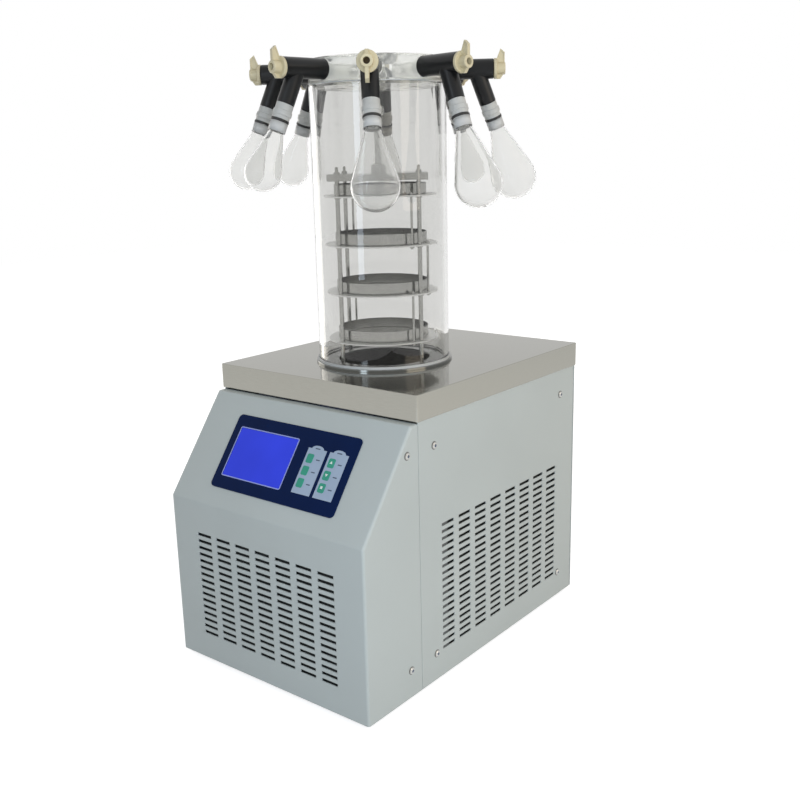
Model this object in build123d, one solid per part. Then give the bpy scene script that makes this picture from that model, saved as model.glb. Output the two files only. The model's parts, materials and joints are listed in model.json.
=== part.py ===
from build123d import *
import os
from math import acos, atan2, cos, hypot, pi, radians, sin, tan

# Bench-top manifold freeze dryer. Millimetres, +Z up, the control side faces -Y.
# The origin is on the bench, midway between the cabinet's toe and the tip of
# its rear vacuum spigot. The acrylic chamber stands on the worktop's cold trap
# mouth and carries a lid with eight flask valves.

# ------------------------------------------------------------ driving sizes: cabinet
cabinet_width = 380.0
worktop_depth = 434.0
worktop_height = 439.0
worktop_sheet = 1.5
worktop_corner_radius = 3.0
worktop_edge_radius = 1.0
lip_height = 37.0
foot_height = 8.0
foot_radius = 16.0
foot_inset = 48.0
casing_sheet = 1.5
casing_inset = 2.0
casing_edge_radius = 4.0
toe_overhang = 115.0
slope_top_overhang = 11.0
bend_height = 252.0
bend_radius = 6.0
shadow_gap = 2.5
seam_setback = 3.0
seam_gap = 0.6
pan_sheet = 2.0
pan_flange_height = 25.0
upright_width = 25.0
panel_return_width = 14.0

# ------------------------------------------------------------ driving sizes: louvres
slot_length = 29.0
slot_height = 4.6
slot_row_pitch = 10.5
front_slot_columns = 7
front_slot_rows = 16
front_slot_column_pitch = 40.0
front_slot_bottom = 43.5
side_slot_columns = 8
side_slot_rows = 19
side_slot_column_pitch = 41.4
side_slot_bottom = 43.5
side_slot_first = 69.0
rear_slot_columns = 4
rear_slot_rows = 12
rear_slot_column_pitch = 41.4
rear_slot_bottom = 64.0

# ------------------------------------------------------------ driving sizes: fasteners
screw_head_radius = 4.75
screw_head_height = 2.6
screw_shank_radius = 2.0
screw_shank_length = 7.0
screw_hole_clearance = 0.2
screw_low = 41.0
screw_below_top = 38.5
side_screw_front = 39.0
side_screw_rear = 385.0
cheek_screw_setback = 21.0
rear_screw_edge = 7.0

# ------------------------------------------------------------ driving sizes: controls
fascia_width = 240.0
fascia_height = 115.0
fascia_thickness = 2.0
fascia_corner_radius = 7.0
fascia_offset = 2.0
fascia_centre_up_slope = 86.0
fascia_margin = 10.0
screen_width = 116.0
screen_height = 75.0
screen_left_of_centre = 47.0
screen_clearance = 0.3
screen_recess = 0.3
module_margin = 4.0
module_depth = 9.0
key_width = 11.5
key_height = 13.5
key_corner_radius = 2.5
key_proud = 0.9
key_clearance = 0.25
key_flange_margin = 1.5
key_flange_thickness = 1.2
key_rest_gap = 0.3
key_column_from_centre = (43.5, 83.5)
key_row_pitch = 18.2
key_rows_up_slope = 82.6

# ------------------------------------------------------------ driving sizes: chamber
chamber_setback = 166.5
chamber_radius = 100.0
chamber_wall = 6.0
chamber_length = 400.0
chamber_edge_chamfer = 0.8
seat_ring_radius = 104.5
seat_ring_height = 3.5
trap_mouth_radius = 70.0
base_gasket_thickness = 1.5
base_gasket_lip = 2.0
gasket_wall = 1.8
gasket_clearance = 0.3
lid_gasket_thickness = 1.5
lid_thickness = 34.0
lid_spigot_depth = 5.0
lid_spigot_clearance = 1.0
lid_edge_chamfer = 1.5
trap_wall = 1.5
trap_depth = 150.0
trap_flange_width = 18.0
trap_hole_clearance = 1.0
trap_corner_radius = 8.0
coil_tube_depth = 7.0
coil_tube_height = 9.0
coil_riser_radius = 3.0
coil_turns = 7
coil_pitch = 16.0
insulation_wall = 26.0

# ------------------------------------------------------------ driving sizes: flask valves
port_count = 8
first_port_azimuth = 35.5
port_bore_radius = 10.0
port_bore_length = 58.0
port_drop_radius = 7.0
spot_face_depth = 3.0
nipple_in_lid = 16.0
nipple_in_valve = 18.0
nipple_bore_radius = 5.5
press_clearance = 0.05
valve_length = 71.5
valve_twists = (3.0, 0.0, 12.0, 0.0, 0.0, 7.0, 8.0, -8.0)
valve_radius = 14.0
valve_bore_radius = 8.05
valve_edge_chamfer = 1.0
branch_from_axis = 143.0
branch_tilt = 20.5
branch_length = 51.0
branch_radius = 12.25
knob_gap = 0.3
knob_disc_radius = 14.4
knob_disc_thickness = 4.6
hub_radius = 8.6
hub_hole_radius = 4.6
hub_hole_depth = 9.0
wing_depth = 11.0
wing_thickness = 5.2
wing_tip = 27.0
wing_tip_setback = 6.0
wing_shoulder = 22.0
wing_heel = 6.0
wing_rim = 1.5
wing_recess = 0.9
spindle_length = 40.0
spindle_clearance = 0.05
spindle_wall = 3.0
knob_rest_turns = (180.0, 0.0, 0.0, 0.0, 0.0, 0.0, 0.0, 0.0)

# ------------------------------------------------------------ driving sizes: glassware
adapter_collar_length = 21.0
adapter_collar_radius = 12.0
adapter_band_radius = 13.2
adapter_band_length = 8.0
adapter_stem_radius = 7.85
adapter_stem_length = 20.0
adapter_bore_radius = 5.0
joint_gap = 3.5
joint_length = 12.0
joint_radius = 8.2
joint_clearance = 0.15
neck_collar_radius = 11.8
neck_collar_length = 14.0
neck_radius = 10.2
flask_wall = 1.6
large_flask = (32.5, 78.0)
small_flask = (26.0, 58.0)
flask_sizes = (large_flask,) * 3 + (small_flask,) * 5

# ------------------------------------------------------------ driving sizes: sample rack
rack_turn = 36.0
rod_radius = 3.2
rod_half_span = 58.0
rod_half_depth = 50.0
rod_tip = 12.0
rod_tip_radius = 2.2
rod_nut_radius = 4.2
rod_nut_height = 2.8
rod_clearance = 0.05
collar_radius = 4.6
collar_height = 2.0
shelf_count = 4
shelf_radius = 84.0
shelf_thickness = 2.0
shelf_pitch = 71.0
lowest_shelf = 35.0
tray_radius = 69.0
tray_height = 16.0
tray_wall = 1.2
bridge_above_shelf = 31.0
bridge_half_length = 71.0
bridge_half_width = 57.0
bridge_sheet = 2.0
bridge_flange_height = 10.0
boss_radius = 13.0
boss_height = 12.0
post_radius = 5.5
post_length = 76.0
post_knob_radius = 9.0
stud_radius = 1.75
stud_circle_radius = 77.0
stud_azimuths = (-52.0, -26.0)
stud_nut_radius = 3.4
stud_nut_height = 2.6
stud_overrun = 4.0

# ------------------------------------------------------------ driving sizes: machinery
condenser_width = 290.0
condenser_height = 160.0
condenser_depth = 38.0
condenser_setback = 24.0
condenser_fins = 17
condenser_tubes = 2
condenser_tube_radius = 4.0
fin_thickness = 1.0
fan_radius = 68.0
fan_ring_clearance = 4.0
fan_ring_wall = 3.0
fan_ring_depth = 28.0
fan_plate_thickness = 2.0
fan_arm_count = 3
fan_arm_width = 10.0
fan_arm_thickness = 4.0
fan_bore_floor = 8.0
fan_blades = 5
fan_hub_radius = 19.0
fan_hub_depth = 14.0
fan_hub_start = 4.0
fan_blade_chord = 24.0
fan_blade_root = 4.0
fan_blade_thickness = 1.6
fan_blade_pitch = 32.0
fan_shaft_radius = 4.0
fan_shaft_clearance = 0.05
fan_motor_radius = 32.0
fan_motor_length = 44.0
fan_motor_chamfer = 4.0
compressor_radius = 78.0
compressor_height = 186.0
compressor_setback = 335.0
spigot_radius = 12.5
spigot_bore_radius = 10.0
spigot_reach = 30.0
spigot_flange_radius = 24.0
spigot_height = 330.0
spigot_from_centre = -110.0
inlet_width = 62.0
inlet_height = 30.0
inlet_flange_margin = 5.0
inlet_flange_thickness = 2.5
inlet_depth = 26.0
inlet_up = 300.0
inlet_from_centre = 110.0
socket_from_side = 19.0
socket_width = 28.0
socket_height = 21.0
socket_depth = 13.0
prong_thickness = 2.0
prong_height = 5.0
prong_places = ((-7.0, -3.0), (7.0, -3.0), (0.0, 4.0))
rocker_width = 11.0
rocker_length = 20.0
rocker_depth = 5.5
rocker_proud = 3.4
rocker_dip = 2.0
rocker_tilt = 12.0
rocker_well_depth = 14.0
rocker_side_clearance = 0.4
rocker_end_clearance = 0.8
rocker_pin_radius = 1.5
rocker_pin_setback = 3.0
rocker_pin_reach = 3.0
drain_height = 34.0
drain_from_centre = -140.0
drain_radius = 6.0
drain_bore_radius = 4.0
drain_body_radius = 9.0
drain_body_length = 15.0
drain_reach = 26.0
drain_inner_reach = 22.0
drain_stem_setback = 8.0
drain_stem_radius = 4.5
drain_stem_height = 12.0
drain_pin_radius = 2.0
drain_pin_length = 6.0
drain_hub_radius = 5.5
drain_lever_length = 24.0
drain_lever_width = 7.0
drain_lever_thickness = 4.0

# ------------------------------------------------------------ places worked out once
through = 1.0
half_width = cabinet_width / 2
casing_half = half_width - casing_inset
inner_half = casing_half - casing_sheet
y_toe = -(toe_overhang + worktop_depth + spigot_reach - casing_inset) / 2
y_worktop = y_toe + toe_overhang
y_worktop_back = y_worktop + worktop_depth
y_rear = y_worktop_back - casing_inset
y_seam = y_worktop + seam_setback
y_panel = y_seam + seam_gap
y_axis = y_worktop + chamber_setback
z_casing = foot_height
z_worktop_under = worktop_height - worktop_sheet
z_cover_top = worktop_height - lip_height - shadow_gap
z_bend = z_casing + bend_height
z_gasket = worktop_height + seat_ring_height
z_chamber = z_gasket + base_gasket_thickness
z_chamber_top = z_chamber + chamber_length
z_lid = z_chamber_top + lid_gasket_thickness
z_port = z_lid + lid_thickness / 2
z_pan_floor = z_casing + pan_sheet

slope_rise = z_cover_top - z_bend
slope_run = (toe_overhang - slope_top_overhang)
slope_angle = atan2(slope_run, slope_rise)
slope_plane = Plane(
    origin=(0, y_toe, z_bend),
    x_dir=(1, 0, 0),
    z_dir=(0, -cos(slope_angle), sin(slope_angle)),
)
valve_start = chamber_radius - spot_face_depth
valve_end = valve_start + valve_length
knob_start = valve_end + knob_gap
chamber_frame = Pos(0, y_axis, 0)
rack_frame = Pos(0, y_axis, worktop_height) * Rot(0, 0, rack_turn)


def ring(outer, inner, height):
    """A flat ring on the XY plane, growing upwards."""
    return extrude(Circle(outer) - Circle(inner), height)


def tube_x(outer, inner, start, end):
    """A round tube along X between two stations."""
    return Plane.YZ.offset(start) * ring(outer, inner, end - start)


def disc_x(radius, start, end):
    """A round bar along X between two stations."""
    return Plane.YZ.offset(start) * extrude(Circle(radius), end - start)


def bar(x_size, y_size, z_size, x=0, y=0, z=0):
    """A block centred in X and Y, standing on z."""
    return Pos(x, y, z) * Box(x_size, y_size, z_size, align=(Align.CENTER, Align.CENTER, Align.MIN))


def port_frame(index):
    """The frame of one manifold port, with X pointing outwards along its axis."""
    azimuth = first_port_azimuth + index * 360.0 / port_count
    return Pos(0, y_axis, z_port) * Rot(0, 0, azimuth - 90)


# ------------------------------------------------------------ casing
def louvre_cutters(columns, rows, column_pitch, size):
    """A centred grid of slots in the XZ plane, with its bottom row at z = 0."""
    first = -(columns - 1) * column_pitch / 2
    return [
        Pos(first + column * column_pitch, 0, row * slot_row_pitch) * size
        for column in range(columns)
        for row in range(rows)
    ]


def cover_block(inset):
    """The front cover's filled form, drawn in by inset on its closed sides."""
    lean = inset * tan(slope_angle / 2)
    bend = (y_toe + inset, z_bend + lean)
    rise = (slope_rise - inset * (1 - sin(slope_angle))) / cos(slope_angle)
    top = (
        y_toe + inset * cos(slope_angle) + rise * sin(slope_angle),
        z_cover_top - inset,
    )
    open_run = through if inset else 0
    points = [
        (y_toe + inset, z_casing - open_run),
        bend,
        top,
        (y_seam + open_run, z_cover_top - inset),
        (y_seam + open_run, z_casing - open_run),
    ]
    outline = Polyline(*points, close=True)
    profile = make_face(outline)
    profile = fillet(profile.vertices().sort_by_distance(Vector(*bend))[0], bend_radius)
    profile = fillet(profile.vertices().sort_by_distance(Vector(*top))[0], casing_edge_radius)
    half = casing_half - inset
    block = Plane.YZ.offset(-half) * extrude(profile, 2 * half)
    front_edges = [
        edge
        for edge in block.edges()
        if abs(abs(edge.center().X) - half) < 0.01
        and edge.center().Z > z_casing
        and edge.center().Y < y_seam - casing_edge_radius
    ]
    return fillet(front_edges, casing_edge_radius - inset)


def make_front_cover():
    cover = cover_block(0) - cover_block(casing_sheet)
    slot = Box(slot_length, 4 * casing_sheet, slot_height)
    slots = louvre_cutters(front_slot_columns, front_slot_rows, front_slot_column_pitch, slot)
    grid = Pos(0, y_toe + casing_sheet / 2, z_casing + front_slot_bottom)
    cover -= [grid * slot for slot in slots]
    opening_width = fascia_width - 2 * fascia_margin
    opening_height = fascia_height - 2 * fascia_margin
    cover -= slope_plane * Pos(fascia_offset, fascia_centre_up_slope, 0) * Box(
        opening_width, opening_height, 4 * casing_sheet
    )
    return cover - screw_holes(cheek_screws())


def make_side_panel(side):
    height = z_worktop_under - z_casing
    length = y_rear - casing_sheet - y_panel
    outline = Rectangle(casing_sheet, length, align=(Align.MAX, Align.MIN))
    outline += Pos(0, length) * Rectangle(panel_return_width, casing_sheet, align=(Align.MAX, Align.MAX))
    outline = fillet(outline.vertices().sort_by_distance(Vector(0, length))[0], casing_edge_radius - 1)
    panel = Pos(casing_half, y_panel, z_casing) * extrude(outline, height)
    slot = Box(4 * casing_sheet, slot_length, slot_height)
    slots = [
        Pos(
            casing_half,
            y_worktop + side_slot_first + column * side_slot_column_pitch,
            z_casing + side_slot_bottom + row * slot_row_pitch,
        )
        * slot
        for column in range(side_slot_columns)
        for row in range(side_slot_rows)
    ]
    panel -= slots
    if side < 0:
        panel = mirror(panel, Plane.YZ)
    return panel - screw_holes(side_screws()) - screw_holes(rear_screws())


def make_rear_panel():
    height = z_worktop_under - z_casing
    panel = bar(2 * casing_half, casing_sheet, height, 0, y_rear - casing_sheet / 2, z_casing)
    slot = Box(slot_length, 4 * casing_sheet, slot_height)
    grid = Pos(0, y_rear, z_casing + rear_slot_bottom)
    panel -= [
        grid * cutter
        for cutter in louvre_cutters(rear_slot_columns, rear_slot_rows, rear_slot_column_pitch, slot)
    ]
    wall = Plane.XZ.offset(-y_rear - through)
    panel -= wall * Pos(spigot_from_centre, z_casing + spigot_height) * extrude(
        Circle(spigot_radius + press_clearance), 4 * casing_sheet
    )
    panel -= wall * Pos(drain_from_centre, z_casing + drain_height) * extrude(
        Circle(drain_radius + press_clearance), 4 * casing_sheet
    )
    panel -= Pos(inlet_from_centre, y_rear, z_casing + inlet_up) * Box(
        inlet_width + press_clearance, 4 * casing_sheet, inlet_height + press_clearance
    )
    return panel - screw_holes(rear_screws())


def make_base_frame():
    """The floor pan with its upturned flanges and four welded uprights."""
    y_front = y_toe + casing_sheet
    y_back = y_rear - 2 * casing_sheet
    depth = y_back - y_front
    y_mid = (y_front + y_back) / 2
    pan = bar(2 * inner_half, depth, pan_flange_height, 0, y_mid, z_casing)
    pan = fillet(pan.edges().filter_by(Axis.Z).sort_by(Axis.Y)[:2], casing_edge_radius)
    pan -= bar(
        2 * (inner_half - pan_sheet), depth - 2 * pan_sheet, pan_flange_height, 0, y_mid, z_pan_floor
    )
    upright_height = z_worktop_under - z_casing
    clear_of_slope = y_worktop - cheek_screw_setback - upright_width / 2
    low_top = z_bend + (clear_of_slope - y_toe) / tan(slope_angle) - upright_width / 2
    for side in (-1, 1):
        x_wall = side * (inner_half - pan_sheet / 2)
        front_end = y_panel + pan_sheet
        pan += bar(
            pan_sheet,
            front_end + upright_width - clear_of_slope,
            low_top - z_casing,
            x_wall,
            (clear_of_slope + front_end + upright_width) / 2,
            z_casing,
        )
        pan += bar(
            pan_sheet, upright_width + side_screw_front, upright_height, x_wall,
            front_end + (upright_width + side_screw_front) / 2, z_casing,
        )
        pan += bar(pan_sheet, 2 * upright_width, upright_height, x_wall, y_back - upright_width, z_casing)
        pan += bar(
            upright_width,
            pan_sheet,
            upright_height,
            side * (inner_half - upright_width / 2),
            y_back - pan_sheet / 2,
            z_casing,
        )
    holes = screw_holes(cheek_screws()) + screw_holes(side_screws()) + screw_holes(rear_screws())
    return pan - holes


def make_feet():
    profile = make_face(
        Polyline(
            (0, 0),
            (foot_radius - 3, 0),
            (foot_radius, foot_height),
            (0, foot_height),
            close=True,
        )
    )
    foot = revolve(Plane.XZ * profile, Axis.Z)
    x_foot = half_width - foot_inset
    return [
        Pos(x, y, 0) * foot
        for x in (-x_foot, x_foot)
        for y in (y_toe + foot_inset, y_rear - foot_inset)
    ]


def make_worktop():
    top = Pos(0, (y_worktop + y_worktop_back) / 2, worktop_height - lip_height / 2) * Box(
        cabinet_width, worktop_depth, lip_height
    )
    top = fillet(top.edges().filter_by(Axis.Z), worktop_corner_radius)
    top = fillet(top.faces().sort_by(Axis.Z)[-1].edges(), worktop_edge_radius)
    hollow = Pos(0, (y_worktop + y_worktop_back) / 2, z_worktop_under - lip_height / 2) * Box(
        cabinet_width - 2 * worktop_sheet, worktop_depth - 2 * worktop_sheet, lip_height
    )
    hollow = fillet(hollow.edges().filter_by(Axis.Z), worktop_corner_radius - worktop_sheet)
    hole_radius = trap_mouth_radius + trap_wall + trap_hole_clearance
    hole = chamber_frame * Pos(0, 0, worktop_height) * Cylinder(hole_radius, lip_height)
    return top - hollow - hole


# ------------------------------------------------------------ screws
def make_screw():
    """A pan head screw with its head on +X and its seat at the origin."""
    head = disc_x(screw_head_radius, 0, screw_head_height)
    head = chamfer(head.edges().sort_by(Axis.X)[-1], screw_head_height * 0.5)
    return head + disc_x(screw_shank_radius, -screw_shank_length, 0)


def screw_rows():
    return (z_casing + screw_low, z_cover_top - screw_below_top)


def side_screws():
    """Places of the screws of both side panels, with X pointing outwards."""
    rows = screw_rows()
    columns = (y_worktop + side_screw_front, y_worktop + side_screw_rear)
    right = [Pos(casing_half, y, z) for y in columns for z in rows]
    left = [Pos(-casing_half, y, z) * Rot(0, 0, 180) for y in columns for z in rows]
    return right + left


def cheek_screws():
    """Places of the screws at the front cover's cheeks."""
    rows = screw_rows()
    y = y_worktop - cheek_screw_setback
    right = [Pos(casing_half, y, z) for z in rows]
    left = [Pos(-casing_half, y, z) * Rot(0, 0, 180) for z in rows]
    return right + left


def rear_screws():
    """Places of the rear panel's screws."""
    rows = screw_rows()
    x = casing_half - rear_screw_edge
    return [Pos(side * x, y_rear, z) * Rot(0, 0, 90) for side in (-1, 1) for z in rows]


def screw_holes(places):
    radius = screw_shank_radius + screw_hole_clearance
    return [place * disc_x(radius, -screw_shank_length - through, through) for place in places]


def make_casing_screws():
    screw = make_screw()
    return [place * screw for place in side_screws() + cheek_screws() + rear_screws()]


# ------------------------------------------------------------ control fascia
def on_slope(x, up, height=0.0):
    """A place on the sloping face: across, up the slope, and proud of it."""
    return slope_plane * Pos(fascia_offset + x, up, height)


def key_places():
    rows = [key_rows_up_slope + key_row_pitch * step for step in (1, 0, -1)]
    return [(x, up) for x in key_column_from_centre for up in rows]


def rounded_block(width, height, radius, low, high):
    outline = RectangleRounded(width, height, radius)
    return Pos(0, 0, low) * extrude(outline, high - low)


def make_control_fascia():
    plate = rounded_block(fascia_width, fascia_height, fascia_corner_radius, 0, fascia_thickness)
    rim = plate.faces().sort_by(Axis.Z)[-1].edges()
    plate = fillet(rim, fascia_thickness * 0.3)
    plate -= Pos(-screen_left_of_centre, 0, 0) * Box(screen_width, screen_height, 4 * fascia_thickness)
    hole = rounded_block(
        key_width + 2 * key_clearance,
        key_height + 2 * key_clearance,
        key_corner_radius + key_clearance,
        -through,
        fascia_thickness + through,
    )
    plate -= [
        Pos(x, up - fascia_centre_up_slope, 0) * hole for x, up in key_places()
    ]
    return on_slope(0, fascia_centre_up_slope) * plate


def make_display_screen():
    glass_width = screen_width - 2 * screen_clearance
    glass_height = screen_height - 2 * screen_clearance
    glass = bar(glass_width, glass_height, fascia_thickness - screen_recess)
    module_width = screen_width + 2 * module_margin
    module_height = screen_height + 2 * module_margin
    module = bar(module_width, module_height, module_depth, 0, 0, -module_depth)
    return on_slope(-screen_left_of_centre, fascia_centre_up_slope) * (glass + module)


def make_key(x, up):
    cap = rounded_block(
        key_width, key_height, key_corner_radius, -key_rest_gap, fascia_thickness + key_proud
    )
    cap = fillet(cap.faces().sort_by(Axis.Z)[-1].edges(), key_proud * 0.6)
    flange = rounded_block(
        key_width + 2 * key_flange_margin,
        key_height + 2 * key_flange_margin,
        key_corner_radius,
        -key_rest_gap - key_flange_thickness,
        -key_rest_gap,
    )
    return on_slope(x, up) * (cap + flange)


# ------------------------------------------------------------ chamber and cold trap
def make_cold_trap():
    outer = trap_mouth_radius + trap_wall
    z_flange = worktop_height
    pot = Pos(0, 0, z_flange - trap_depth) * extrude(Circle(outer), trap_depth)
    pot = chamfer(pot.faces().sort_by(Axis.Z)[0].edges(), trap_corner_radius)
    hollow = Pos(0, 0, z_flange - trap_depth + trap_wall) * extrude(
        Circle(trap_mouth_radius), trap_depth + trap_wall
    )
    hollow = chamfer(hollow.faces().sort_by(Axis.Z)[0].edges(), trap_corner_radius - trap_wall / 2)
    flange = Pos(0, 0, z_flange) * ring(outer + trap_flange_width, trap_mouth_radius, trap_wall)
    return chamber_frame * (pot + flange - hollow)


def make_seat_ring():
    """The polished ring that clamps the trap's flange and carries the chamber."""
    flange_radius = trap_mouth_radius + trap_wall + trap_flange_width
    body = ring(seat_ring_radius, trap_mouth_radius, seat_ring_height)
    body = chamfer(body.faces().sort_by(Axis.Z)[-1].edges(), 0.6)
    body -= ring(flange_radius + trap_hole_clearance, trap_mouth_radius - through, trap_wall)
    return chamber_frame * Pos(0, 0, worktop_height) * body


def make_base_gasket():
    """An L-shaped ring: a seat under the tube and a lip around it."""
    inner = chamber_radius - chamber_wall - gasket_wall
    lip_inner = chamber_radius + gasket_clearance
    seat = ring(lip_inner + gasket_wall, inner, base_gasket_thickness)
    lip = ring(lip_inner + gasket_wall, lip_inner, base_gasket_thickness + base_gasket_lip)
    return chamber_frame * Pos(0, 0, z_gasket) * (seat + lip)


def make_chamber_tube():
    tube = ring(chamber_radius, chamber_radius - chamber_wall, chamber_length)
    ends = tube.faces().filter_by(Axis.Z).edges()
    return chamber_frame * Pos(0, 0, z_chamber) * chamfer(ends, chamber_edge_chamfer)


def make_lid_gasket():
    inner = chamber_radius - chamber_wall
    body = ring(chamber_radius - chamber_edge_chamfer, inner, lid_gasket_thickness)
    return chamber_frame * Pos(0, 0, z_chamber_top) * body


def make_manifold_lid():
    disc = extrude(Circle(chamber_radius), lid_thickness)
    disc = chamfer(disc.faces().filter_by(Axis.Z).edges(), lid_edge_chamfer)
    spigot_radius_in_tube = chamber_radius - chamber_wall - lid_spigot_clearance
    disc += Pos(0, 0, -lid_spigot_depth) * extrude(Circle(spigot_radius_in_tube), lid_spigot_depth)
    disc = chamber_frame * Pos(0, 0, z_lid) * disc
    bore_end = chamber_radius - port_bore_length
    port_cut = disc_x(port_bore_radius, bore_end, chamber_radius + through)
    port_cut += disc_x(valve_radius + 0.5, valve_start, chamber_radius + through)
    drop = Pos(bore_end + port_bore_radius, 0, -lid_thickness) * extrude(
        Circle(port_drop_radius), lid_thickness
    )
    return disc - [port_frame(index) * (port_cut + drop) for index in range(port_count)]


def make_trap_insulation():
    """The foam cup around the cold trap and its evaporator coil."""
    inner = trap_mouth_radius + trap_wall + coil_tube_depth
    outer = inner + insulation_wall
    height = trap_depth + insulation_wall - worktop_sheet
    cup = extrude(Circle(outer), height)
    cup -= Pos(0, 0, insulation_wall) * extrude(Circle(inner), height)
    return chamber_frame * Pos(0, 0, z_worktop_under - height) * cup


def make_evaporator_coil():
    """Turns of flattened copper tube around the cold trap, joined by a riser."""
    inner = trap_mouth_radius + trap_wall
    outer = inner + coil_tube_depth
    first = worktop_height - trap_depth + trap_corner_radius
    riser_height = (coil_turns - 1) * coil_pitch + coil_tube_height
    coil = Pos(inner + coil_tube_depth / 2, 0, first) * extrude(Circle(coil_riser_radius), riser_height)
    for turn in range(coil_turns):
        coil += Pos(0, 0, first + turn * coil_pitch) * ring(outer, inner, coil_tube_height)
    return chamber_frame * coil


# ------------------------------------------------------------ manifold valves
def make_port_nipple():
    start = chamber_radius - nipple_in_lid
    body = disc_x(port_bore_radius - press_clearance, start, valve_start)
    body += disc_x(valve_bore_radius - press_clearance, start, valve_start + nipple_in_valve)
    return body - disc_x(nipple_bore_radius, start - through, valve_start + nipple_in_valve + through)


def branch_frame():
    """The frame of a valve's branch, with -Z pointing down it."""
    return Pos(branch_from_axis, 0, 0) * Rot(0, -branch_tilt, 0)


def valve_frame(index):
    """The frame of one valve, twisted a little on its nipple as it hangs."""
    return port_frame(index) * Rot(valve_twists[index], 0, 0)


def make_valve_body():
    barrel = disc_x(valve_radius, valve_start, valve_end)
    branch = branch_frame() * Pos(0, 0, -branch_length) * extrude(Circle(branch_radius), branch_length)
    body = barrel + branch
    ends = body.faces().filter_by(GeomType.PLANE).edges().filter_by(GeomType.CIRCLE)
    body = chamfer(ends, valve_edge_chamfer)
    body -= disc_x(valve_bore_radius, valve_start - through, valve_end + through)
    branch_bore = Pos(0, 0, -branch_length - through) * extrude(
        Circle(adapter_stem_radius + press_clearance), branch_length + through
    )
    return body - branch_frame() * branch_bore


def wing_outline(rim):
    """The wing's side view, with X along the port's axis and Y upwards, drawn in by rim."""
    start = knob_start + knob_disc_thickness - 0.5
    end = knob_start + knob_disc_thickness + wing_depth
    outline = Polyline(
        (start, -knob_disc_radius),
        (end - wing_tip_setback, -knob_disc_radius),
        (end, -wing_heel),
        (end, wing_shoulder),
        (end - wing_tip_setback, wing_tip),
        (start, knob_disc_radius - 1),
        close=True,
    )
    return offset(make_face(outline), -rim) if rim else make_face(outline)


def make_valve_knob(turn):
    """Disc, drilled hub, winged grip and hollow spindle, turned from wing-up about the port's axis."""
    hub_end = knob_start + knob_disc_thickness + wing_depth + 1
    disc = disc_x(knob_disc_radius, knob_start, knob_start + knob_disc_thickness)
    hub = disc_x(hub_radius, knob_start, hub_end)
    knob = chamfer(disc.edges().filter_by(GeomType.CIRCLE), 0.8)
    knob += extrude(Plane.XZ * wing_outline(0), wing_thickness / 2, both=True)
    for side in (-1, 1):
        cut = Plane.XZ.offset(side * (wing_thickness / 2 - wing_recess)) * wing_outline(wing_rim)
        knob -= extrude(cut, side * wing_thickness)
    knob += chamfer(hub.edges().filter_by(GeomType.CIRCLE).sort_by(Axis.X)[-1], 1.0)
    knob -= disc_x(hub_hole_radius, hub_end - hub_hole_depth, hub_end + through)
    spindle_radius = valve_bore_radius - spindle_clearance
    passage_radius = spindle_radius - spindle_wall
    passage_end = knob_start - spindle_wall
    spindle_start = knob_start - spindle_length
    knob += disc_x(spindle_radius, spindle_start, knob_start + 1)
    knob -= disc_x(passage_radius, spindle_start - through, passage_end)
    window = Pos(branch_from_axis, 0, 0) * Cylinder(passage_radius, 4 * spindle_radius)
    knob -= window & disc_x(2 * spindle_radius, spindle_start, passage_end)
    return Rot(turn, 0, 0) * knob


# ------------------------------------------------------------ glassware
def make_flask_adapter():
    start = branch_length
    collar_end = start + adapter_collar_length
    band = start + (adapter_collar_length - adapter_band_length) / 2 + 2
    cone_end = collar_end + joint_gap + joint_length
    points = [
        (adapter_bore_radius, start - adapter_stem_length),
        (adapter_stem_radius, start - adapter_stem_length),
        (adapter_stem_radius, start),
        (adapter_collar_radius, start),
        (adapter_collar_radius, band),
        (adapter_band_radius, band + 1),
        (adapter_band_radius, band + adapter_band_length - 1),
        (adapter_collar_radius, band + adapter_band_length),
        (adapter_collar_radius, collar_end),
        (joint_radius, collar_end),
        (joint_radius, cone_end),
        (adapter_bore_radius, cone_end),
    ]
    outline = make_face(Polyline(*[(r, -down) for r, down in points], close=True))
    return revolve(Plane.XZ * outline, Axis.Z)


def flask_start():
    return branch_length + adapter_collar_length + joint_gap


def bulb_block(bulb_radius, cone_length, inset):
    """The flask's filled pear form below its neck, drawn in by inset: a cone that runs into a ball."""
    top = -flask_start() - neck_collar_length
    centre = top - cone_length
    neck = neck_radius - inset
    bulb = bulb_radius - inset
    touch = atan2(neck, cone_length) + acos(bulb / hypot(neck, cone_length))
    tangent_point = (bulb * sin(touch), centre + bulb * cos(touch))
    bottom = (0, centre - bulb)
    lower_middle = (bulb * cos(pi / 4), centre - bulb * sin(pi / 4))
    ball = ThreePointArc(tangent_point, lower_middle, bottom)
    sides = Polyline(bottom, (0, top), (neck, top), tangent_point)
    return revolve(Plane.XZ * make_face(ball + sides), Axis.Z)


def make_flask(bulb_radius, cone_length):
    top = flask_start()
    collar = Pos(0, 0, -top - neck_collar_length) * extrude(Circle(neck_collar_radius), neck_collar_length)
    collar = chamfer(collar.edges(), 1.0)
    bore = Pos(0, 0, -top - neck_collar_length - through) * extrude(
        Circle(joint_radius + joint_clearance), neck_collar_length + 2 * through
    )
    body = bulb_block(bulb_radius, cone_length, 0) + collar
    return body - bulb_block(bulb_radius, cone_length, flask_wall) - bore


# ------------------------------------------------------------ sample rack
def rod_places():
    return [
        Pos(x, y, 0)
        for x in (-rod_half_span, rod_half_span)
        for y in (-rod_half_depth, rod_half_depth)
    ]


def shelf_level(index):
    """Underside of a shelf above the worktop, counted from the top."""
    return lowest_shelf + (shelf_count - 1 - index) * shelf_pitch


def bridge_level():
    return shelf_level(0) + bridge_above_shelf


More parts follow.
